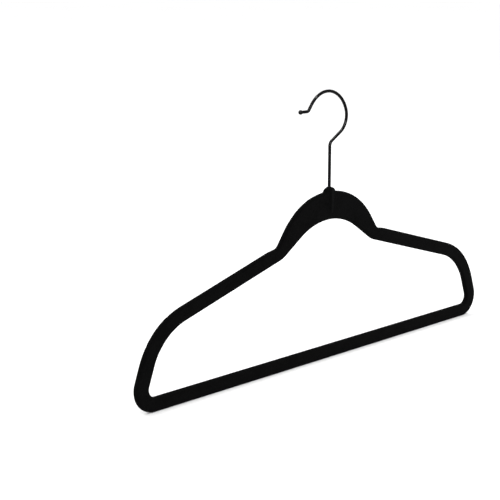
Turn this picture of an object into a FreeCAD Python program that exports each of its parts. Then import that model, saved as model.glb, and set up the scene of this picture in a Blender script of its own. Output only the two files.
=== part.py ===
"""Slim flocked clothes hanger with a swivel hook, one STEP file per piece, in millimetres.

X runs along the hanger, Y through its thickness and Z up. The front faces -Y, and the hook
opens towards -X. The origin is where the swivel axis meets the inside of the hook's bow,
which is where a rail carries it. The sizes below count heights from the underside of the
trouser bar, and every piece is lowered to the origin when it is written.
"""
import FreeCAD
import Part
import math
import os

V = FreeCAD.Vector

# Flocked body, outside sizes: the nap is included.
WIDTH = 445.0            # tip to tip
CROWN_HEIGHT = 149.0     # hump beside the neck, above the bar's underside
THICKNESS = 5.0
EDGE_ROUND = 1.9         # rounding of every long edge
CROWN_SLOPE = 6.5        # degrees below level, beside the neck
CROWN_SHELF = 2.5        # from the neck's foot to the start of the hump's big round
HUMP_SLOPE = 54.5        # degrees below level, down the hump's side
STRAP_X = 65.3           # strap notch at the foot of the hump, from the centre
STRAP_DROP = 40.6        # strap notch below the crown
STRAP_ROUND = 8.0
STRAP_LAND = 9.5         # easier stretch beside the notch
STRAP_LAND_SLOPE = 9.0   # degrees
STRAP_LAND_ROUND = 30.0
SHOULDER_END = 69.3      # height at which the shoulder's line meets the end's line
SHOULDER_ROUND = 63.0    # bend from the shoulder down to the end
END_LEAN = 20.0          # degrees that each end leans in from upright
TOE_ROUND = 19.2         # bottom corners
ARM_DEPTH = 12.4         # across the arm
END_DEPTH = 13.7         # across the upright end
BAR_DEPTH = 12.0         # height of the trouser bar
CROWN_DEPTH = 24.5       # hump beside the neck, down to the top of the arch
ARCH_SLOPE = 34.0        # degrees, the arch's straight flanks
ARCH_FOOT_X = 59.0       # where the arch meets the arm's underside
ARCH_FOOT_ROUND = 25.0
INNER_SHOULDER_ROUND = 50.0
INNER_TOE_ROUND = 7.0

# Nap of short fibres glued to the moulding, and the moulding's own boss for the hook.
NAP = 0.4
BOSS_WALL = 0.94         # moulding round the sleeve
BOSS_TIP = 5.6           # point of the boss's 45 degree cone above the crown
BOSS_FLOOR = 1.2         # full-width boss below the end of the bore
BOSS_TAPER = 7.0         # height over which the boss sinks into the hump's faces
BOSS_SUNK = 0.6          # its end is this far under the faces
UNDER_BOSS = 2.3         # left between the boss's end and the arch
NECK_TOP = 4.8           # peak of the plate's neck above the crown
NECK_SLOPE = 21.0        # degrees below level, the neck's top
NECK_SHOULDER = 5.3      # half width of the plate's neck at its shoulders
NECK_FOOT = 6.9          # half width of the plate's neck where it meets the crown
NECK_ROUND = 2.5         # the neck's peak and shoulders
NECK_FOOT_ROUND = 2.0

# Swivel: a sleeve moulded into the boss, a stem that turns in it, a snap ring under it.
WIRE = 2.7               # hook wire's diameter
STEM_CLEARANCE = 0.06    # radial, stem in sleeve
SLEEVE_WALL = 0.7
SLEEVE_CAP = 3.7         # sleeve's top below the point of the boss's cone
MOUTH_CLEARANCE = 0.3    # radial, stem in the hole through the cap
RING_ROOM = 3.8          # space under the sleeve
RING_THICKNESS = 0.6
RING_PLAY = 0.15         # between the ring and the sleeve's end
RING_GROOVE_DEPTH = 0.3
RING_STANDS_PROUD = 0.4  # beyond the wire, so that it can't pass the sleeve
RING_GROOVE_SLACK = 0.04
RING_GAP = 70.0          # degrees left open in the split ring
STEM_BELOW_RING = 1.1
STEM_END_CHAMFER = 0.35

# Hook, as the wire is bent: height of the straight stem, then feeds and bends.
STEM_ABOVE_CROWN = 39.2
NECK_BEND = (5.3, -58.7)     # radius and turn in degrees; a turn to the left is positive
NECK_RUN = 13.0
CHEEK_BEND = (16.2, 80.7)
BOW_BEND = (25.6, 121.4)
MOUTH_RUN = 5.1
MOUTH_BEND = (3.0, -53.4)
LIP_RUN = 8.2
TIP_WALL = 0.6               # bead round the wire's end
TIP_SOCKET = 0.3             # the wire stops this far past the bead's middle


def slope_down(angle):
    """Rise over run of a line that falls by this many degrees towards +X."""
    return -math.tan(math.radians(angle))


def meet(first, first_slope, second, second_slope):
    """Where two straight lines of the XZ plane cross, each given by a point and a slope."""
    run = (second[1] - first[1] + first_slope * first[0] - second_slope * second[0])
    x = run / (first_slope - second_slope)
    return (x, first[1] + first_slope * (x - first[0]))


def shifted(point, slope, depth):
    """The same line moved square to itself, inwards and down, by depth."""
    length = math.hypot(1.0, slope)
    return (point[0] + depth * slope / length, point[1] - depth / length)


def mirrored(half, on_axis):
    """Corners of a whole outline from its +X half; on_axis counts leading points at x = 0."""
    left = [(-x, z, r) for x, z, r in reversed(half[on_axis:])]
    return half + left


def rounded_wire(corners):
    """Closed wire in the XZ plane from corners (x, z, radius), each rounded by a tangent arc."""
    spans = []
    count = len(corners)
    for i in range(count):
        x, z, radius = corners[i]
        corner = V(x, 0, z)
        before = V(corners[i - 1][0], 0, corners[i - 1][1]) - corner
        after = V(corners[(i + 1) % count][0], 0, corners[(i + 1) % count][1]) - corner
        before.normalize()
        after.normalize()
        half_angle = before.getAngle(after) / 2
        back = radius / math.tan(half_angle)
        bisector = before + after
        bisector.normalize()
        centre = corner + bisector * (radius / math.sin(half_angle))
        spans.append((corner + before * back, centre - bisector * radius, corner + after * back))
    edges = []
    for i in range(count):
        start, middle, end = spans[i]
        edges.append(Part.Arc(start, middle, end).toShape())
        edges.append(Part.LineSegment(end, spans[(i + 1) % count][0]).toShape())
    return Part.Wire(edges)


HALF = WIDTH / 2
CROWN_SIDE = slope_down(CROWN_SLOPE)
HUMP_SIDE = slope_down(HUMP_SLOPE)
LAND_SIDE = slope_down(STRAP_LAND_SLOPE)
END_SIDE = slope_down(90 - END_LEAN)

NECK_CORNER = (NECK_FOOT, CROWN_HEIGHT)
STRAP_NOTCH = (STRAP_X, CROWN_HEIGHT - STRAP_DROP)
LAND_END = (STRAP_X + STRAP_LAND, STRAP_NOTCH[1] + LAND_SIDE * STRAP_LAND)
TOE_CENTRE = (HALF - TOE_ROUND, TOE_ROUND)
END_POINT = (TOE_CENTRE[0] + TOE_ROUND * math.cos(math.radians(END_LEAN)),
             TOE_CENTRE[1] + TOE_ROUND * math.sin(math.radians(END_LEAN)))
SHOULDER_CORNER = (END_POINT[0] + (SHOULDER_END - END_POINT[1]) / END_SIDE, SHOULDER_END)
SHOULDER_SIDE = (SHOULDER_END - LAND_END[1]) / (SHOULDER_CORNER[0] - LAND_END[0])

CONE_TIP = CROWN_HEIGHT + BOSS_TIP
SLEEVE_TOP = CONE_TIP - SLEEVE_CAP
STEM_RADIUS = WIRE / 2
MOUTH = STEM_RADIUS + MOUTH_CLEARANCE
SLEEVE_BORE = STEM_RADIUS + STEM_CLEARANCE
SLEEVE_OUTSIDE = SLEEVE_BORE + SLEEVE_WALL
BOSS_END = CROWN_HEIGHT - CROWN_DEPTH + UNDER_BOSS
BOSS_WAIST = BOSS_END + BOSS_TAPER
BORE_END = BOSS_WAIST + BOSS_FLOOR
SLEEVE_END = BORE_END + RING_ROOM
RING_TOP = SLEEVE_END - RING_PLAY
RING_BOTTOM = RING_TOP - RING_THICKNESS
STEM_END = RING_BOTTOM - STEM_BELOW_RING


def outer_corners():
    """Outside of the body, from the neck round to the bar's underside."""
    hump = meet(NECK_CORNER, CROWN_SIDE, STRAP_NOTCH, HUMP_SIDE)
    shelf = math.hypot(hump[0] - NECK_CORNER[0], hump[1] - NECK_CORNER[1]) - CROWN_SHELF
    crown_round = shelf / math.tan(math.radians(HUMP_SLOPE - CROWN_SLOPE) / 2)
    toe = meet(END_POINT, END_SIDE, (0, 0), 0)
    peak = CROWN_HEIGHT + NECK_TOP
    half = [(0, peak, NECK_ROUND),
            (NECK_SHOULDER, peak + slope_down(NECK_SLOPE) * NECK_SHOULDER, NECK_ROUND),
            (NECK_CORNER[0], NECK_CORNER[1], NECK_FOOT_ROUND),
            (hump[0], hump[1], crown_round),
            (STRAP_NOTCH[0], STRAP_NOTCH[1], STRAP_ROUND),
            (LAND_END[0], LAND_END[1], STRAP_LAND_ROUND),
            (SHOULDER_CORNER[0], SHOULDER_CORNER[1], SHOULDER_ROUND),
            (toe[0], toe[1], TOE_ROUND)]
    return mirrored(half, 1)


def inner_corners():
    """Window of the body: arch, arms' undersides, inner ends and the top of the bar."""
    underside = shifted(LAND_END, SHOULDER_SIDE, ARM_DEPTH)
    inner_end = shifted(END_POINT, END_SIDE, END_DEPTH)
    foot = (ARCH_FOOT_X, underside[1] + SHOULDER_SIDE * (ARCH_FOOT_X - underside[0]))
    apex_height = foot[1] - slope_down(ARCH_SLOPE) * ARCH_FOOT_X
    cut = 1 / math.cos(math.radians(ARCH_SLOPE)) - 1
    arch_round = (apex_height - (CROWN_HEIGHT - CROWN_DEPTH)) / cut
    shoulder = meet(underside, SHOULDER_SIDE, inner_end, END_SIDE)
    toe = meet(inner_end, END_SIDE, (0, BAR_DEPTH), 0)
    half = [(0, apex_height, arch_round),
            (foot[0], foot[1], ARCH_FOOT_ROUND),
            (shoulder[0], shoulder[1], INNER_SHOULDER_ROUND),
            (toe[0], toe[1], INNER_TOE_ROUND)]
    return mirrored(half, 1)


def plate(corners, inset, grow):
    """Plate of the body's thickness less the inset, edges rounded, from one outline."""
    wire = rounded_wire(corners)
    if inset:
        wire = wire.makeOffset2D(grow * inset)
    thickness = THICKNESS - 2 * inset
    return Part.Face(wire).extrude(V(0, thickness, 0)).translated(V(0, -thickness / 2, 0))


def boss(inset):
    """Round boss for the hook's stem: a cone on a post that sinks into the hump's faces."""
    radius = SLEEVE_OUTSIDE + BOSS_WALL + NAP - inset
    tip = CONE_TIP - inset * math.sqrt(2)
    sunk = THICKNESS / 2 - inset - BOSS_SUNK
    corners = [V(0, 0, BOSS_END), V(0, 0, tip), V(radius, 0, tip - radius),
               V(radius, 0, BOSS_WAIST), V(sunk, 0, BOSS_END), V(0, 0, BOSS_END)]
    return Part.Face(Part.makePolygon(corners)).revolve(V(0, 0, 0), V(0, 0, 1), 360)


def long_edges(solid, thickness):
    """Edges that lie wholly in the front or the back face."""
    found = []
    for edge in solid.Edges:
        box = edge.BoundBox
        if box.YLength < 0.01 and abs(abs(box.YMin) - thickness / 2) < 0.01:
            found.append(edge)
    return found


def body(inset):
    """The whole frame, inset all round; inset 0 is the outside of the nap."""
    ring = plate(outer_corners(), inset, -1).cut(plate(inner_corners(), inset, 1))
    ring = ring.makeFillet(EDGE_ROUND - inset, long_edges(ring, THICKNESS - 2 * inset))
    return ring.fuse(boss(inset)).removeSplitter()


def post(radius, low, high):
    """Round post on the swivel axis between two heights."""
    return Part.makeCylinder(radius, high - low, V(0, 0, low))


def frame_core():
    """One moulding: arms, bar, hump and boss, bored for the sleeve and the stem."""
    bored = body(NAP).cut(post(SLEEVE_OUTSIDE, BORE_END, SLEEVE_TOP))
    return bored.cut(post(MOUTH, SLEEVE_TOP, CONE_TIP))


def flock_coat():
    """Nap all over the moulding, open only where the stem comes out."""
    return body(0).cut(body(NAP)).cut(post(MOUTH, SLEEVE_TOP, CONE_TIP))


def neck_sleeve():
    """Plain drawn tube that the stem turns in."""
    outside = post(SLEEVE_OUTSIDE, SLEEVE_END, SLEEVE_TOP)
    return outside.cut(post(SLEEVE_BORE, SLEEVE_END, SLEEVE_TOP))


def hook_path():
    """Centre line of the hook, fed and bent in the XZ plane from the stem's end.

    Also gives the middle of each bend, the path's end and the way it points there.
    """
    place = V(0, 0, STEM_END)
    heading = 90.0
    edges = []
    centres = []
    steps = [(CROWN_HEIGHT + STEM_ABOVE_CROWN - STEM_END, NECK_BEND), (NECK_RUN, CHEEK_BEND),
             (0, BOW_BEND), (MOUTH_RUN, MOUTH_BEND), (LIP_RUN, None)]
    for feed, bend in steps:
        ahead = V(math.cos(math.radians(heading)), 0, math.sin(math.radians(heading)))
        if feed:
            edges.append(Part.LineSegment(place, place + ahead * feed).toShape())
            place = place + ahead * feed
        if bend:
            radius, turn = bend
            side = math.copysign(1, turn)
            centre = place + V(-ahead.z, 0, ahead.x) * (radius * side)
            centres.append(centre)
            points = []
            for part in (0.5, 1.0):
                spoke = math.radians(heading - 90 * side + turn * part)
                points.append(centre + V(math.cos(spoke), 0, math.sin(spoke)) * radius)
            edges.append(Part.Arc(place, points[0], points[1]).toShape())
            place = points[1]
            heading = heading + turn
    return Part.Wire(edges), centres, place, heading


def rail_seat():
    """Height at which the swivel axis meets the inside of the bow."""
    bow = hook_path()[1][2]
    return bow.z + math.sqrt((BOW_BEND[0] - STEM_RADIUS) ** 2 - bow.x ** 2)


def hook_wire():
    """Round wire along the hook's path, its end chamfered and grooved for the snap ring."""
    path = hook_path()[0]
    section = Part.Wire(Part.Circle(V(0, 0, STEM_END), V(0, 0, 1), STEM_RADIUS).toShape())
    wire = path.makePipeShell([section], True, False)
    lead = Part.makeCone(STEM_RADIUS - STEM_END_CHAMFER, STEM_RADIUS + STEM_END_CHAMFER,
                         2 * STEM_END_CHAMFER, V(0, 0, STEM_END))
    lead = post(2 * STEM_RADIUS, STEM_END, STEM_END + 2 * STEM_END_CHAMFER).cut(lead)
    low = RING_BOTTOM - RING_GROOVE_SLACK
    high = RING_TOP + RING_GROOVE_SLACK
    groove = post(2 * STEM_RADIUS, low, high)
    groove = groove.cut(post(STEM_RADIUS - RING_GROOVE_DEPTH, low, high))
    return wire.cut(lead).cut(groove)


def snap_ring():
    """Split ring in the stem's groove, wider than the sleeve's bore."""
    inside = STEM_RADIUS - RING_GROOVE_DEPTH + RING_GROOVE_SLACK
    outside = STEM_RADIUS + RING_STANDS_PROUD
    ring = Part.makeCylinder(outside, RING_THICKNESS, V(0, 0, RING_BOTTOM), V(0, 0, 1),
                             360 - RING_GAP)
    ring.rotate(V(0, 0, 0), V(0, 0, 1), RING_GAP / 2)
    return ring.cut(post(inside, RING_BOTTOM, RING_TOP))


def hook_tip():
    """Bead pushed on the wire's free end."""
    place, heading = hook_path()[2:]
    ahead = V(math.cos(math.radians(heading)), 0, math.sin(math.radians(heading)))
    radius = STEM_RADIUS + TIP_WALL
    bead = Part.makeSphere(radius, place - ahead * TIP_SOCKET)
    socket = Part.makeCylinder(STEM_RADIUS, 2 * radius, place, ahead * -1)
    return bead.cut(socket)


def main():
    os.makedirs("parts", exist_ok=True)
    lowered = V(0, 0, -rail_seat())
    for piece in (frame_core, flock_coat, neck_sleeve, hook_wire, snap_ring, hook_tip):
        shape = piece().translated(lowered)
        shape.exportStep("parts/" + piece.__name__ + ".step")
        print(piece.__name__, len(shape.Solids), shape.isValid(), round(shape.Volume, 2))


main()
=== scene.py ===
"""Looks of a flocked, non-slip clothes hanger with a swivelling wire hook.

The origin is where the rail touches the inside of the hook. +Z is up, +X runs along the arms,
and the front faces -Y.
"""
import math

import bmesh
import bpy
from mathutils import Matrix, Vector


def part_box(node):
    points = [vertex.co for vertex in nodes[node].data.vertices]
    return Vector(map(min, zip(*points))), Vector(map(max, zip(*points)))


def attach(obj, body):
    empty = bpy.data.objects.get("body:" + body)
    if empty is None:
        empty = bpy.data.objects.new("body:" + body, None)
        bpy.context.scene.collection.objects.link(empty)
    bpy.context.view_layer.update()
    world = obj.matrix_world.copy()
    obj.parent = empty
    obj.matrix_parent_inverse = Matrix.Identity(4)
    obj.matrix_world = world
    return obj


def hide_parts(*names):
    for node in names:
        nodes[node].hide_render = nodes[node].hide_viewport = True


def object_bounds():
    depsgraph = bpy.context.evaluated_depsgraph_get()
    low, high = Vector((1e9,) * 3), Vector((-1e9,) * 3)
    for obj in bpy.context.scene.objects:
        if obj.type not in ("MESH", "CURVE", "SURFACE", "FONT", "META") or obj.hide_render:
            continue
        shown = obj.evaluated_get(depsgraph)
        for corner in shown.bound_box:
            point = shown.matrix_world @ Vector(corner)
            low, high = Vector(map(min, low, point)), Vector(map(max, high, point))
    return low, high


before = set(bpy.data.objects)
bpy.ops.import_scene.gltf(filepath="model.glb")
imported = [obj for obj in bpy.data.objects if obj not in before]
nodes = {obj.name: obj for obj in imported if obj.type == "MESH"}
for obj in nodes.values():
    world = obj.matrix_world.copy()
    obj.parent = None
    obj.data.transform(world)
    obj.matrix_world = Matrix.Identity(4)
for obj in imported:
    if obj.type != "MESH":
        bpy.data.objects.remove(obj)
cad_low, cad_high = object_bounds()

scene = bpy.context.scene
MM = 0.001


# ---------------------------------------------------------------- camera
# A long lens looking down a little on the hanger's front, from its left,
# far enough back that the near end grows only a little larger than the far one.

CAMERA_AZIMUTH = -45.35     # degrees, 0 looks square at the front face
CAMERA_ELEVATION = 12.02
CAMERA_DISTANCE = 1.0933
AIM_X = -0.0484
AIM_Y = 0.0482
AIM_HEIGHT = 0.0974         # above the bar's underside
LENS = 90.38                # mm, on a sensor 36 mm wide

azimuth = math.radians(CAMERA_AZIMUTH)
elevation = math.radians(CAMERA_ELEVATION)
toward_camera = Vector((
    math.sin(azimuth) * math.cos(elevation),
    -math.cos(azimuth) * math.cos(elevation),
    math.sin(elevation),
))
aim = Vector((AIM_X, AIM_Y, cad_low[2] + AIM_HEIGHT))
camera = bpy.data.objects.new("camera", bpy.data.cameras.new("camera"))
scene.collection.objects.link(camera)
camera.location = aim + toward_camera * CAMERA_DISTANCE
camera.rotation_mode = "QUATERNION"
camera.rotation_quaternion = (-toward_camera).to_track_quat("-Z", "Y")
camera.data.sensor_width = 36
camera.data.lens = LENS
camera.data.clip_start = 0.05
camera.data.clip_end = 60
scene.camera = camera


# ---------------------------------------------------------------- moulded core
# The stiff frame inside the flock: black ABS, injection moulded in one shot,
# bare only down inside the neck, with the tool's fine spark-eroded grain on it.

GRAIN_PITCH = 0.25 * MM
GRAIN_DEPTH = 0.02 * MM
FLOW_PITCH = 9 * MM
MOULDING_DARK = (0.010, 0.010, 0.011, 1)
MOULDING_LIGHT = (0.017, 0.017, 0.018, 1)


def new_material(name):
    """A material with an empty node tree but for its shader and its output."""
    material = bpy.data.materials.new(name)
    material.use_nodes = True
    return material, material.node_tree, material.node_tree.nodes["Principled BSDF"]


def add(tree, kind, **settings):
    """A node of this kind, with its own settings."""
    node = tree.nodes.new(kind)
    for setting, value in settings.items():
        setattr(node, setting, value)
    return node


def set_inputs(node, **values):
    """Sets inputs by name; an underscore stands for a space."""
    for name, value in values.items():
        node.inputs[name.replace("_", " ")].default_value = value
    return node


def ramp(tree, fac, low, high, dark, light):
    """A smooth step of a value: dark where it is low or less, light where it is high or more."""
    node = add(tree, "ShaderNodeMapRange", interpolation_type="SMOOTHSTEP")
    tree.links.new(fac, node.inputs["Value"])
    set_inputs(node, From_Min=low, From_Max=high, To_Min=dark, To_Max=light)
    return node.outputs["Result"]


def mix(tree, fac, first, second):
    """A colour mixed from two, each a colour or a socket."""
    node = add(tree, "ShaderNodeMix", data_type="RGBA")
    tree.links.new(fac, node.inputs["Factor"])
    for socket, value in ((node.inputs[6], first), (node.inputs[7], second)):
        if isinstance(value, tuple):
            socket.default_value = value
        else:
            tree.links.new(value, socket)
    return node.outputs[2]


def centred_place(tree, node_name):
    """Object coordinates counted from the middle of a CAD node's box."""
    low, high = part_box(node_name)
    middle = (Vector(low) + Vector(high)) / 2
    place = add(tree, "ShaderNodeTexCoord")
    mapping = add(tree, "ShaderNodeMapping", vector_type="POINT")
    mapping.inputs["Location"].default_value = -middle
    tree.links.new(place.outputs["Object"], mapping.inputs["Vector"])
    return mapping.outputs["Vector"]


def new_group(name, inputs, outputs):
    """A shader node group with its own named inputs and outputs."""
    group = bpy.data.node_groups.new(name, "ShaderNodeTree")
    for label, kind, value in inputs:
        socket = group.interface.new_socket(name=label, in_out="INPUT", socket_type=kind)
        if value is not None:
            socket.default_value = value
    for label, kind in outputs:
        group.interface.new_socket(name=label, in_out="OUTPUT", socket_type=kind)
    way_in = add(group, "NodeGroupInput")
    way_out = add(group, "NodeGroupOutput")
    return group, way_in, way_out


def use_group(tree, group, vector, **values):
    """Places a group in a material, fed by a vector, with its own values."""
    node = add(tree, "ShaderNodeGroup", node_tree=group)
    tree.links.new(vector, node.inputs["Vector"])
    set_inputs(node, **values)
    return node


def bump(tree, height, strength, distance, under=None):
    """A bump's normal from a height, on top of another normal if there is one."""
    node = add(tree, "ShaderNodeBump")
    set_inputs(node, Strength=strength, Distance=distance)
    tree.links.new(height, node.inputs["Height"])
    if under is not None:
        tree.links.new(under, node.inputs["Normal"])
    return node.outputs["Normal"]


# Fine grain: small even unevenness of a surface, and a broad drift in its tone.
fine_grain, grain_in, grain_out = new_group(
    "fine grain",
    [("Vector", "NodeSocketVector", None), ("Grains per metre", "NodeSocketFloat", 4000.0),
     ("Drifts per metre", "NodeSocketFloat", 100.0)],
    [("Height", "NodeSocketFloat"), ("Drift", "NodeSocketFloat")],
)
grains = add(fine_grain, "ShaderNodeTexNoise")
set_inputs(grains, Detail=2.0, Roughness=0.6)
drifts = add(fine_grain, "ShaderNodeTexNoise")
set_inputs(drifts, Detail=3.0, Roughness=0.5, Distortion=0.3)
fine_grain.links.new(grain_in.outputs["Vector"], grains.inputs["Vector"])
fine_grain.links.new(grain_in.outputs["Grains per metre"], grains.inputs["Scale"])
fine_grain.links.new(grain_in.outputs["Vector"], drifts.inputs["Vector"])
fine_grain.links.new(grain_in.outputs["Drifts per metre"], drifts.inputs["Scale"])
fine_grain.links.new(grains.outputs["Fac"], grain_out.inputs["Height"])
fine_grain.links.new(drifts.outputs["Fac"], grain_out.inputs["Drift"])

moulding, tree, shader = new_material("black_moulding")
place = centred_place(tree, "frame_core")
grain = use_group(tree, fine_grain, place, Grains_per_metre=1 / GRAIN_PITCH,
                  Drifts_per_metre=1 / FLOW_PITCH)
tone = ramp(tree, grain.outputs["Drift"], 0.3, 0.7, 0.0, 1.0)
colour = mix(tree, tone, MOULDING_DARK, MOULDING_LIGHT)
tree.links.new(colour, shader.inputs["Base Color"])
gloss = ramp(tree, grain.outputs["Height"], 0.3, 0.7, 0.42, 0.58)
tree.links.new(gloss, shader.inputs["Roughness"])
relief = bump(tree, grain.outputs["Height"], 0.35, GRAIN_DEPTH)
tree.links.new(relief, shader.inputs["Normal"])
nodes["frame_core"].data.materials.clear()
nodes["frame_core"].data.materials.append(moulding)


# ---------------------------------------------------------------- flock coat
# Black nylon flock, 0.4 mm of short upright fibres stuck all over the core.
# The pile's tips are a little uneven and soften every edge. Its lay in patches, its tufts and its
# fibre tips are painted sheen: lighter and darker tones in the colour.

PILE_CELL = 0.68 * MM           # the skin is made of cells this wide
PILE_SOFTENING = 2              # passes of smoothing, everywhere
BOSS_FILLING = 60               # passes that fill the corner between the boss and the faces
BOSS_REACH = 9 * MM             # from the stem's axis
TUFT_PITCH = 1.1 * MM
TUFT_HEIGHT = 0.07 * MM
PATCH_PITCH = 9 * MM
PATCH_HEIGHT = 0.05 * MM
UNMOVED = 0.6                   # where the noise has this value, the skin stays as it was
FACE_DEPTH = 2.2 * MM           # what lies further out than this is a face, not an edge
MOUTH_RADIUS = 1.7 * MM         # 0.05 mm more than the core's hole, so the bore clears its rim
MOUTH_SIDES = 48
MOUTH_WALL_TILT = 0.2           # the upright part of a face's normal, at most, on the hole's wall
DRILL_LENGTH = 4 * MM
DRILL_RAISED = 1 * MM           # the drill's middle above the top of the coat's hollow
WELD = 0.002 * MM               # corners nearer than this are one
SLIVER = 0.02 * MM              # edges shorter than this are closed up after boring
FIBRE_PITCH = 0.22 * MM
FIBRE_RELIEF = 0.15 * MM
TUFT_RELIEF = 0.35 * MM
LAY_PITCH = 22 * MM
NAP_SHEEN_DARKEST = (0.0006, 0.0006, 0.0006, 1)        # painted sheen: the darkest nap tone, where the fibres lean away and hide their tips
NAP_SHEEN_DARK = (0.0013, 0.0013, 0.0013, 1)
NAP_SHEEN_BRUSHED = (0.0019, 0.0019, 0.0019, 1)
NAP_SHEEN_TUFT = (0.0038, 0.0038, 0.0038, 1)
NAP_SHEEN_TIP = (0.0072, 0.0072, 0.0073, 1)


def welded(node):
    """A bmesh of a CAD node, its loose triangles welded."""
    mesh = bmesh.new()
    mesh.from_mesh(node.data)
    bmesh.ops.remove_doubles(mesh, verts=mesh.verts, dist=WELD)
    return mesh


def close_rims(mesh):
    """Fills what is open, with faces that point as their neighbours do."""
    rims = [edge for edge in mesh.edges if edge.is_boundary]
    filled = bmesh.ops.holes_fill(mesh, edges=rims, sides=0)
    bmesh.ops.triangulate(mesh, faces=filled["faces"])


def as_object(mesh, name):
    """Turns a bmesh into an object at the origin."""
    data = bpy.data.meshes.new(name)
    mesh.to_mesh(data)
    mesh.free()
    made = bpy.data.objects.new(name, data)
    scene.collection.objects.link(made)
    return made


def apply_modifiers(piece):
    """Bakes an object's modifiers into its mesh."""
    ready = piece.evaluated_get(bpy.context.evaluated_depsgraph_get())
    data = bpy.data.meshes.new_from_object(ready)
    piece.modifiers.clear()
    piece.data = data


def smooth_but_sharp(piece, degrees):
    """Smooth shading, with edges sharper than this many degrees kept crisp."""
    piece.data.shade_smooth()
    piece.data.set_sharp_from_angle(angle=math.radians(degrees))


def lines_mouth(face):
    """True for a face of the hole that the stem comes out of."""
    middle = face.calc_center_median()
    upright = abs(face.normal.z) < MOUTH_WALL_TILT
    return upright and math.hypot(middle.x, middle.y) < MOUTH_RADIUS


def joined_to(start):
    """Every vertex that edges lead to from this one."""
    found = {start}
    ahead = [start]
    while ahead:
        vert = ahead.pop()
        beyond = {edge.other_vert(vert) for edge in vert.link_edges} - found
        found |= beyond
        ahead.extend(beyond)
    return found


def side_of_coat(outside):
    """The coat's outer or inner side, closed over the hole that joins them."""
    side = welded(nodes["flock_coat"])
    ring = [face for face in side.faces if lines_mouth(face)]
    bmesh.ops.delete(side, geom=ring, context="FACES")
    on_outside = joined_to(min(side.verts, key=lambda vert: vert.co.z))
    away = [vert for vert in side.verts if (vert in on_outside) != outside]
    bmesh.ops.delete(side, geom=away, context="VERTS")
    close_rims(side)
    return side


# The coat's inner side stays as it is, and closes the hollow that the core fills.
inner = side_of_coat(outside=False)
hollow_top = max(vert.co.z for vert in inner.verts)
inner_skin = as_object(inner, "coat_inside")

# The outer side is remade in even cells, softened, and its pile raised unevenly.
outer = side_of_coat(outside=True)
coat = as_object(outer, "velvet_coat")
cells = coat.modifiers.new("cells", "REMESH")
cells.mode = "VOXEL"
cells.voxel_size = PILE_CELL
apply_modifiers(coat)
pile = bmesh.new()
pile.from_mesh(coat.data)
for again in range(PILE_SOFTENING):
    bmesh.ops.smooth_vert(pile, verts=pile.verts, factor=0.5, use_axis_x=True,
                          use_axis_y=True, use_axis_z=True)
boss_flanks = [vert for vert in pile.verts
               if abs(vert.co.x) < BOSS_REACH and abs(vert.co.y) > FACE_DEPTH]
stood_out = [abs(vert.co.y) for vert in boss_flanks]
for again in range(BOSS_FILLING):
    bmesh.ops.smooth_vert(pile, verts=boss_flanks, factor=0.5, use_axis_x=False,
                          use_axis_y=True, use_axis_z=False)
    for vert, depth in zip(boss_flanks, stood_out):
        vert.co.y = math.copysign(max(abs(vert.co.y), depth), vert.co.y)
pile.to_mesh(coat.data)
pile.free()
for name, pitch, height in (("patches", PATCH_PITCH, PATCH_HEIGHT),
                            ("tufts", TUFT_PITCH, TUFT_HEIGHT)):
    clouds = bpy.data.textures.new(name, "CLOUDS")
    clouds.noise_scale = pitch
    raised = coat.modifiers.new(name, "DISPLACE")
    raised.texture = clouds
    raised.texture_coords = "LOCAL"
    raised.strength = height
    raised.mid_level = UNMOVED
apply_modifiers(coat)

# Both sides in one mesh, then the stem's hole is bored through to the hollow.
shell = bmesh.new()
shell.from_mesh(coat.data)
shell.from_mesh(inner_skin.data)
shell.to_mesh(coat.data)
shell.free()
bpy.data.objects.remove(inner_skin)
drill_mesh = bmesh.new()
bmesh.ops.create_cone(drill_mesh, cap_ends=True, segments=MOUTH_SIDES, radius1=MOUTH_RADIUS,
                      radius2=MOUTH_RADIUS, depth=DRILL_LENGTH,
                      matrix=Matrix.Translation((0, 0, hollow_top + DRILL_RAISED)))
drill = as_object(drill_mesh, "drill")
hole = coat.modifiers.new("mouth", "BOOLEAN")
hole.operation = "DIFFERENCE"
hole.solver = "EXACT"
hole.object = drill
apply_modifiers(coat)
bpy.data.objects.remove(drill)
cleaned = bmesh.new()
cleaned.from_mesh(coat.data)
bmesh.ops.triangulate(cleaned, faces=[face for face in cleaned.faces if len(face.verts) > 4])
bmesh.ops.remove_doubles(cleaned, verts=cleaned.verts, dist=SLIVER)
bmesh.ops.dissolve_degenerate(cleaned, edges=cleaned.edges, dist=SLIVER)
cleaned.to_mesh(coat.data)
cleaned.free()
smooth_but_sharp(coat, 60)


def calculate(tree, operation, first, second):
    """Arithmetic on two values, each a number or a socket."""
    node = add(tree, "ShaderNodeMath", operation=operation)
    for socket, value in zip(node.inputs, (first, second)):
        if isinstance(value, (int, float)):
            socket.default_value = value
        else:
            tree.links.new(value, socket)
    return node.outputs[0]


velvet, tree, shader = new_material("black_velvet_flock")
place = centred_place(tree, "flock_coat")
nap = use_group(tree, fine_grain, place, Grains_per_metre=1 / FIBRE_PITCH,
                Drifts_per_metre=1 / LAY_PITCH)
tufts = use_group(tree, fine_grain, place, Grains_per_metre=1 / TUFT_PITCH,
                  Drifts_per_metre=1 / PATCH_PITCH)
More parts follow.
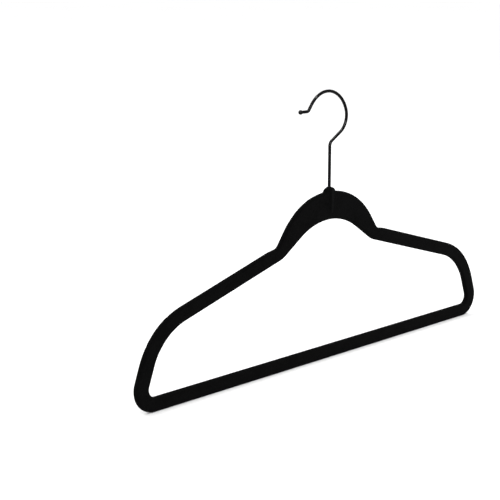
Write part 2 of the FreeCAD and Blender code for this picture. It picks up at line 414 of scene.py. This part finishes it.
# Painted sheen: the nap's lay, brushed patches, tufts and fibre tips are lighter or darker tones
# painted into the colour, standing in for how light catches the pile.
lay_sheen_mask = ramp(tree, nap.outputs["Drift"], 0.35, 0.65, 0.0, 1.0)
brushed_sheen_mask = ramp(tree, tufts.outputs["Drift"], 0.3, 0.7, 0.0, 1.0)
tuft_sheen_mask = ramp(tree, tufts.outputs["Height"], 0.35, 0.7, 0.0, 1.0)
tip_sheen_mask = ramp(tree, nap.outputs["Height"], 0.35, 0.75, 0.0, 1.0)
painted_lay_sheen = mix(tree, lay_sheen_mask, NAP_SHEEN_DARKEST, NAP_SHEEN_DARK)
painted_brushed_sheen = mix(tree, calculate(tree, "MULTIPLY", brushed_sheen_mask, 0.6), painted_lay_sheen, NAP_SHEEN_BRUSHED)
painted_tuft_sheen = mix(tree, calculate(tree, "MULTIPLY", tuft_sheen_mask, 0.4), painted_brushed_sheen, NAP_SHEEN_TUFT)
painted_nap_sheen = mix(tree, calculate(tree, "MULTIPLY", tip_sheen_mask, 0.3), painted_tuft_sheen, NAP_SHEEN_TIP)
tree.links.new(painted_nap_sheen, shader.inputs["Base Color"])
shader.inputs["Roughness"].default_value = 1.0
shader.inputs["Specular IOR Level"].default_value = 0.0
shader.inputs["Sheen Weight"].default_value = 0.022
shader.inputs["Sheen Roughness"].default_value = 0.45
shader.inputs["Sheen Tint"].default_value = (0.9, 0.9, 0.92, 1)
soft = bump(tree, tufts.outputs["Height"], 0.8, TUFT_RELIEF)
relief = bump(tree, nap.outputs["Height"], 0.9, FIBRE_RELIEF, soft)
tree.links.new(relief, shader.inputs["Normal"])
coat.data.materials.clear()
coat.data.materials.append(velvet)
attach(coat, "frame")
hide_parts("flock_coat")


# ---------------------------------------------------------------- neck sleeve
# A length of drawn steel tube, bored and faced on a lathe and moulded into the neck. The
# hook's stem runs in it. It keeps the tool's fine rings, under a film of grease.

TURNED_PITCH = 0.12 * MM
TOOL_MARK = 0.01 * MM               # depth of the lines that a tool or a die leaves
SMEARS_PER_METRE = 700.0            # of grease
SLEEVE_SPOTS_PER_METRE = 900.0
CLEAN_STEEL = (0.46, 0.45, 0.43, 1)
GREASED_STEEL = (0.30, 0.28, 0.25, 1)

# Worked metal: fine lines left by a tool or a die, and dull spots from handling.
worked_metal, metal_in, metal_out = new_group(
    "worked metal",
    [("Vector", "NodeSocketVector", None), ("Lines per metre", "NodeSocketFloat", 6000.0),
     ("Spots per metre", "NodeSocketFloat", 300.0)],
    [("Lines", "NodeSocketFloat"), ("Spots", "NodeSocketFloat")],
)
lines = add(worked_metal, "ShaderNodeTexNoise")
set_inputs(lines, Detail=3.0, Roughness=0.7)
spots = add(worked_metal, "ShaderNodeTexNoise")
set_inputs(spots, Detail=4.0, Roughness=0.6, Distortion=0.5)
worked_metal.links.new(metal_in.outputs["Vector"], lines.inputs["Vector"])
worked_metal.links.new(metal_in.outputs["Lines per metre"], lines.inputs["Scale"])
worked_metal.links.new(metal_in.outputs["Vector"], spots.inputs["Vector"])
worked_metal.links.new(metal_in.outputs["Spots per metre"], spots.inputs["Scale"])
worked_metal.links.new(lines.outputs["Fac"], metal_out.inputs["Lines"])
worked_metal.links.new(ramp(worked_metal, spots.outputs["Fac"], 0.45, 0.7, 0.0, 1.0),
                       metal_out.inputs["Spots"])


def squeezed(tree, vector, scale):
    """The same place with each axis scaled, so that a pattern is drawn out along one."""
    mapping = add(tree, "ShaderNodeMapping", vector_type="POINT")
    mapping.inputs["Scale"].default_value = scale
    tree.links.new(vector, mapping.inputs["Vector"])
    return mapping.outputs["Vector"]


bush_steel, tree, shader = new_material("turned_steel")
place = centred_place(tree, "neck_sleeve")
rings = squeezed(tree, place, (0.05, 0.05, 1))
marks = use_group(tree, worked_metal, rings, Lines_per_metre=1 / TURNED_PITCH,
                  Spots_per_metre=SLEEVE_SPOTS_PER_METRE)
film = use_group(tree, worked_metal, place, Spots_per_metre=SMEARS_PER_METRE)
colour = mix(tree, film.outputs["Spots"], CLEAN_STEEL, GREASED_STEEL)
tree.links.new(colour, shader.inputs["Base Color"])
shader.inputs["Metallic"].default_value = 1.0
tree.links.new(ramp(tree, marks.outputs["Lines"], 0.3, 0.7, 0.22, 0.42),
               shader.inputs["Roughness"])
tree.links.new(bump(tree, marks.outputs["Lines"], 0.4, TOOL_MARK), shader.inputs["Normal"])
nodes["neck_sleeve"].data.materials.clear()
nodes["neck_sleeve"].data.materials.append(bush_steel)


# ---------------------------------------------------------------- hook wire
# Drawn steel wire, 2.7 mm, fed and bent cold in one plane, then lacquered black.
# Its lower end is chamfered, with a groove turned in it for the snap ring.

WIRE_RADIUS = 1.35 * MM
WIRE_SIDES = 32
END_CHAMFER = 0.35 * MM
GROOVE_FROM_END = 1.06 * MM
GROOVE_WIDTH = 0.68 * MM
GROOVE_DEPTH = 0.30 * MM
STEM_LENGTH = 51.25 * MM
NECK_BEND = (5.3 * MM, -58.7)       # radius, and turn in degrees; a turn to the left is positive
NECK_RUN = 13.0 * MM
CHEEK_BEND = (16.2 * MM, 80.7)
BOW_BEND = (25.6 * MM, 121.4)
MOUTH_RUN = 5.1 * MM
MOUTH_BEND = (3.0 * MM, -53.4)
LIP_RUN = 8.2 * MM
BEND_STEP = 3.0                     # degrees turned between rings of the bent wire
RUB_RADIUS = 5 * MM                 # lacquer polished by the rail round the hook's seat
DIE_LINES_PER_METRE = 9000.0
DULL_SPOTS_PER_METRE = 900.0
PEEL_PER_METRE = 2600.0             # orange peel of the lacquer
PEEL_DEPTH = 0.02 * MM
LACQUER_DRIFTS_PER_METRE = 90.0
LACQUER_THICK = (0.0020, 0.0020, 0.0022, 1)
LACQUER_THIN = (0.0040, 0.0040, 0.0043, 1)
RUBBED_STEEL = (0.09, 0.088, 0.085, 1)

wire = bmesh.new()
drawn = wire.verts.layers.float_vector.new("drawn")     # round the wire, and along it
stem_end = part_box("hook_wire")[0][2]
rim = bmesh.ops.create_circle(wire, cap_ends=True, segments=WIRE_SIDES,
                              radius=WIRE_RADIUS - END_CHAMFER,
                              matrix=Matrix.Translation((0, 0, stem_end)))["verts"]
for vert in rim:
    vert[drawn] = Vector((vert.co.x, vert.co.y, 0)).normalized()
feed_place = Vector((0, 0, stem_end))
feed_heading = 90.0
fed = 0.0


def heading(degrees):
    """The direction in the hook's plane at this angle, counted from +X towards +Z."""
    return Vector((math.cos(math.radians(degrees)), 0, math.sin(math.radians(degrees))))


def rim_edges():
    """The edges round the wire's open end."""
    ends = set(rim)
    return [edge for edge in wire.edges if set(edge.verts) <= ends]


def take(made):
    """Makes the newest ring of the wire its open end, and marks how much wire is fed."""
    global rim
    rim = [part for part in made if isinstance(part, bmesh.types.BMVert)]
    for vert in rim:
        vert[drawn].z = fed


def feed(length, widen=0.0):
    """Feeds straight wire, its radius growing by widen over that length."""
    global feed_place, fed
    ahead = heading(feed_heading)
    radius = (rim[0].co - feed_place).length
    made = bmesh.ops.extrude_edge_only(wire, edges=rim_edges())["geom"]
    fed += length
    take(made)
    bmesh.ops.translate(wire, verts=rim, vec=ahead * length)
    feed_place = feed_place + ahead * length
    grow = (radius + widen) / radius
    bmesh.ops.scale(wire, vec=(grow, grow, 1), verts=rim, space=Matrix.Translation(-feed_place))


def bend(radius, turn):
    """Bends the wire round a former, to the left for a positive turn."""
    global feed_place, feed_heading, fed
    former = feed_place + heading(feed_heading + math.copysign(90, turn)) * radius
    steps = math.ceil(abs(turn) / BEND_STEP)
    part = turn / steps
    for step in range(steps):
        made = bmesh.ops.spin(wire, geom=rim_edges(), cent=former, axis=(0, -1, 0),
                              angle=math.radians(part), steps=1, use_merge=False)["geom_last"]
        fed += radius * math.radians(abs(part))
        take(made)
    feed_place = former + Matrix.Rotation(-math.radians(turn), 3, "Y") @ (feed_place - former)
    feed_heading += turn


feed(END_CHAMFER, END_CHAMFER)
feed(GROOVE_FROM_END - END_CHAMFER)
feed(0, -GROOVE_DEPTH)
feed(GROOVE_WIDTH)
feed(0, GROOVE_DEPTH)
feed(STEM_LENGTH - GROOVE_FROM_END - GROOVE_WIDTH)
bend(*NECK_BEND)
feed(NECK_RUN)
bend(*CHEEK_BEND)
bend(*BOW_BEND)
feed(MOUTH_RUN)
bend(*MOUTH_BEND)
feed(LIP_RUN)
wire_end = feed_place
wire_end_heading = feed_heading
bmesh.ops.contextual_create(wire, geom=rim_edges())
bmesh.ops.recalc_face_normals(wire, faces=wire.faces)
hook = as_object(wire, "bent_hook")
smooth_but_sharp(hook, 35)

lacquer, tree, shader = new_material("black_lacquered_steel")
along = add(tree, "ShaderNodeAttribute", attribute_name="drawn")
streaks = squeezed(tree, along.outputs["Vector"], (0.0015, 0.0015, 0.02))
marks = use_group(tree, worked_metal, streaks, Lines_per_metre=DIE_LINES_PER_METRE,
                  Spots_per_metre=DULL_SPOTS_PER_METRE)
place = centred_place(tree, "hook_wire")
skin = use_group(tree, fine_grain, place, Grains_per_metre=PEEL_PER_METRE,
                 Drifts_per_metre=LACQUER_DRIFTS_PER_METRE)
seat = add(tree, "ShaderNodeTexCoord")
from_seat = add(tree, "ShaderNodeVectorMath", operation="LENGTH")
tree.links.new(seat.outputs["Object"], from_seat.inputs[0])
near_seat = ramp(tree, from_seat.outputs["Value"], 0.3 * RUB_RADIUS, RUB_RADIUS, 1.0, 0.0)
faces = add(tree, "ShaderNodeSeparateXYZ")
tree.links.new(seat.outputs["Normal"], faces.inputs["Vector"])
underneath = ramp(tree, faces.outputs["Z"], -0.9, -0.2, 1.0, 0.0)
touched = calculate(tree, "MULTIPLY", near_seat, underneath)
scratched = calculate(tree, "MULTIPLY", touched, marks.outputs["Lines"])
rubbed = ramp(tree, scratched, 0.3, 0.6, 0.0, 0.6)
tone = ramp(tree, skin.outputs["Drift"], 0.3, 0.7, 0.0, 1.0)
black = mix(tree, tone, LACQUER_THICK, LACQUER_THIN)
colour = mix(tree, rubbed, black, RUBBED_STEEL)
tree.links.new(colour, shader.inputs["Base Color"])
tree.links.new(rubbed, shader.inputs["Metallic"])
dulled = ramp(tree, marks.outputs["Lines"], 0.3, 0.7, 0.08, 0.20)
tree.links.new(dulled, shader.inputs["Roughness"])
shader.inputs["Specular IOR Level"].default_value = 0.5
peel = bump(tree, skin.outputs["Height"], 0.25, PEEL_DEPTH)
tree.links.new(bump(tree, marks.outputs["Lines"], 0.3, TOOL_MARK, peel), shader.inputs["Normal"])
hook.data.materials.append(lacquer)
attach(hook, "hook")
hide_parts("hook_wire")


# ---------------------------------------------------------------- snap ring
# A split spring-steel ring snapped in the stem's groove under the sleeve.
# It is hardened and oiled, blue-grey, and keeps the hook from pulling out.

STAMPED_LINES_PER_METRE = 7000.0
OIL_SPOTS_PER_METRE = 1200.0
TEMPERED_BLUE = (0.13, 0.14, 0.17, 1)
TEMPERED_STRAW = (0.24, 0.22, 0.20, 1)

spring_steel, tree, shader = new_material("oiled_spring_steel")
place = centred_place(tree, "snap_ring")
marks = use_group(tree, worked_metal, place, Lines_per_metre=STAMPED_LINES_PER_METRE,
                  Spots_per_metre=OIL_SPOTS_PER_METRE)
colour = mix(tree, marks.outputs["Spots"], TEMPERED_BLUE, TEMPERED_STRAW)
tree.links.new(colour, shader.inputs["Base Color"])
shader.inputs["Metallic"].default_value = 1.0
tree.links.new(ramp(tree, marks.outputs["Lines"], 0.3, 0.7, 0.28, 0.45),
               shader.inputs["Roughness"])
tree.links.new(bump(tree, marks.outputs["Lines"], 0.3, TOOL_MARK), shader.inputs["Normal"])
nodes["snap_ring"].data.materials.clear()
nodes["snap_ring"].data.materials.append(spring_steel)


# ---------------------------------------------------------------- hook tip
# A round bead of black plastic pushed over the wire's cut end, so that it can't snag.
# It has a blind socket for the wire and the gloss of a polished mould.

BEAD_RADIUS = 1.95 * MM
SOCKET_PAST_MIDDLE = 0.3 * MM
BEAD_STEP = 6.0                     # degrees between rings of the bead
BEAD_GRAINS_PER_METRE = 2500.0
BEAD_DRIFTS_PER_METRE = 500.0
BEAD_RELIEF = 0.01 * MM
BEAD_DARK = (0.003, 0.003, 0.003, 1)
BEAD_LIGHT = (0.006, 0.006, 0.006, 1)

ahead = heading(wire_end_heading)
bead_middle = wire_end - ahead * SOCKET_PAST_MIDDLE
bead_mesh = bmesh.new()
nose = bead_mesh.verts.new((0, 0, BEAD_RADIUS))
mouth_angle = 180 - math.degrees(math.asin(WIRE_RADIUS / BEAD_RADIUS))
profile = bmesh.ops.spin(bead_mesh, geom=[nose], cent=(0, 0, 0), axis=(0, 1, 0),
                         angle=math.radians(mouth_angle),
                         steps=math.ceil(mouth_angle / BEAD_STEP), use_merge=False)
lip = [part for part in profile["geom_last"] if isinstance(part, bmesh.types.BMVert)]
for across in (WIRE_RADIUS, 0):
    target = Vector((across, 0, SOCKET_PAST_MIDDLE))
    grown = bmesh.ops.extrude_vert_indiv(bead_mesh, verts=lip)
    lip = grown["verts"]
    bmesh.ops.translate(bead_mesh, verts=lip, vec=target - lip[0].co)
bmesh.ops.spin(bead_mesh, geom=bead_mesh.verts[:] + bead_mesh.edges[:], cent=(0, 0, 0),
               axis=(0, 0, 1), angle=math.radians(360), steps=WIRE_SIDES, use_merge=True)
bmesh.ops.remove_doubles(bead_mesh, verts=bead_mesh.verts, dist=WELD)
bmesh.ops.recalc_face_normals(bead_mesh, faces=bead_mesh.faces)
swung = Vector((0, 0, 1)).rotation_difference(ahead).to_matrix().to_4x4()
bmesh.ops.transform(bead_mesh, matrix=Matrix.Translation(bead_middle) @ swung,
                    verts=bead_mesh.verts)
bead = as_object(bead_mesh, "tip_bead")
smooth_but_sharp(bead, 40)

gloss_plastic, tree, shader = new_material("gloss_black_plastic")
place = centred_place(tree, "hook_tip")
skin = use_group(tree, fine_grain, place, Grains_per_metre=BEAD_GRAINS_PER_METRE,
                 Drifts_per_metre=BEAD_DRIFTS_PER_METRE)
tone = ramp(tree, skin.outputs["Drift"], 0.3, 0.7, 0.0, 1.0)
tree.links.new(mix(tree, tone, BEAD_DARK, BEAD_LIGHT), shader.inputs["Base Color"])
tree.links.new(ramp(tree, skin.outputs["Height"], 0.3, 0.7, 0.16, 0.30),
               shader.inputs["Roughness"])
shader.inputs["Specular IOR Level"].default_value = 0.5
tree.links.new(bump(tree, skin.outputs["Height"], 0.2, BEAD_RELIEF), shader.inputs["Normal"])
bead.data.materials.append(gloss_plastic)
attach(bead, "hook")
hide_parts("hook_tip")


# ---------------------------------------------------------------- studio
# A plain white floor that the hanger stands on by its bar, a white room round it, and soft
# lights. What gloss reflects of the room is dimmed, and the floor's colour is painted dark
# where gloss reflects it, a painted dark reflection as if black flags stood round the hanger,
# so that the lacquer stays black between its highlights.

FLOOR_HALF = 18.0           # metres, far past the view on every side
SPECKS_PER_METRE = 900.0
SHADES_PER_METRE = 3.0
PAPER_DARK = (0.86, 0.86, 0.86, 1)
PAPER_LIGHT = (0.89, 0.89, 0.89, 1)
# painted dark reflection: the paper's colour as gloss rays see it
PAPER_PAINTED_DARK_IN_GLOSS = (0.09, 0.09, 0.09, 1)
ROOM_BRIGHTNESS = 1.2
FLAGGED_ROOM = 0.12         # its brightness, as gloss reflects it

floor_mesh = bmesh.new()
bmesh.ops.create_grid(floor_mesh, x_segments=1, y_segments=1, size=FLOOR_HALF,
                      matrix=Matrix.Translation((0, 0, cad_low[2])))
floor = as_object(floor_mesh, "floor")
paper, tree, shader = new_material("white_paper")
place = add(tree, "ShaderNodeTexCoord")
sheet = use_group(tree, fine_grain, place.outputs["Object"], Grains_per_metre=SPECKS_PER_METRE,
                  Drifts_per_metre=SHADES_PER_METRE)
white = mix(tree, sheet.outputs["Drift"], PAPER_DARK, PAPER_LIGHT)
rays = add(tree, "ShaderNodeLightPath")
# Painted dark reflection: the paper turns dark grey for gloss rays only.
floor_colour_with_painted_reflection = mix(tree, rays.outputs["Is Glossy Ray"], white, PAPER_PAINTED_DARK_IN_GLOSS)
tree.links.new(floor_colour_with_painted_reflection, shader.inputs["Base Color"])
shader.inputs["Roughness"].default_value = 0.9
shader.inputs["Specular IOR Level"].default_value = 0.1
floor.data.materials.append(paper)


def soft_light(name, place, target, width, height, watts):
    """A rectangular soft light at a place, turned to face a target."""
    lamp = bpy.data.lights.new(name, "AREA")
    lamp.shape = "RECTANGLE"
    lamp.size = width
    lamp.size_y = height
    lamp.energy = watts
    made = bpy.data.objects.new(name, lamp)
    scene.collection.objects.link(made)
    made.location = place
    made.rotation_mode = "QUATERNION"
    made.rotation_quaternion = (Vector(place) - Vector(target)).to_track_quat("Z", "Y")


middle = (Vector(cad_low) + Vector(cad_high)) / 2
# High in front on the left, for the faces.
soft_light("front_left", (-1.3, -1.4, 1.3), middle, width=1.2, height=1.2, watts=16)
# Behind, to lift the pile's upper edges.
soft_light("back_top", (0.1, 1.2, 1.5), middle, width=1.6, height=0.6, watts=14)
# Narrow, overhead, for the highlight along the wire's slanting run and its bow.
soft_light("overhead_strip", (0.0, -0.5, 1.55), middle, width=0.15, height=1.0, watts=5)

room = bpy.data.worlds.new("white_room")
scene.world = room
room.use_nodes = True
backdrop = room.node_tree.nodes["Background"]
backdrop.inputs["Color"].default_value = (1, 1, 1, 1)
rays = add(room.node_tree, "ShaderNodeLightPath")
brightness = add(room.node_tree, "ShaderNodeMapRange")
set_inputs(brightness, To_Min=ROOM_BRIGHTNESS, To_Max=FLAGGED_ROOM)
room.node_tree.links.new(rays.outputs["Is Glossy Ray"], brightness.inputs["Value"])
room.node_tree.links.new(brightness.outputs["Result"], backdrop.inputs["Strength"])
scene.view_settings.view_transform = "Standard"
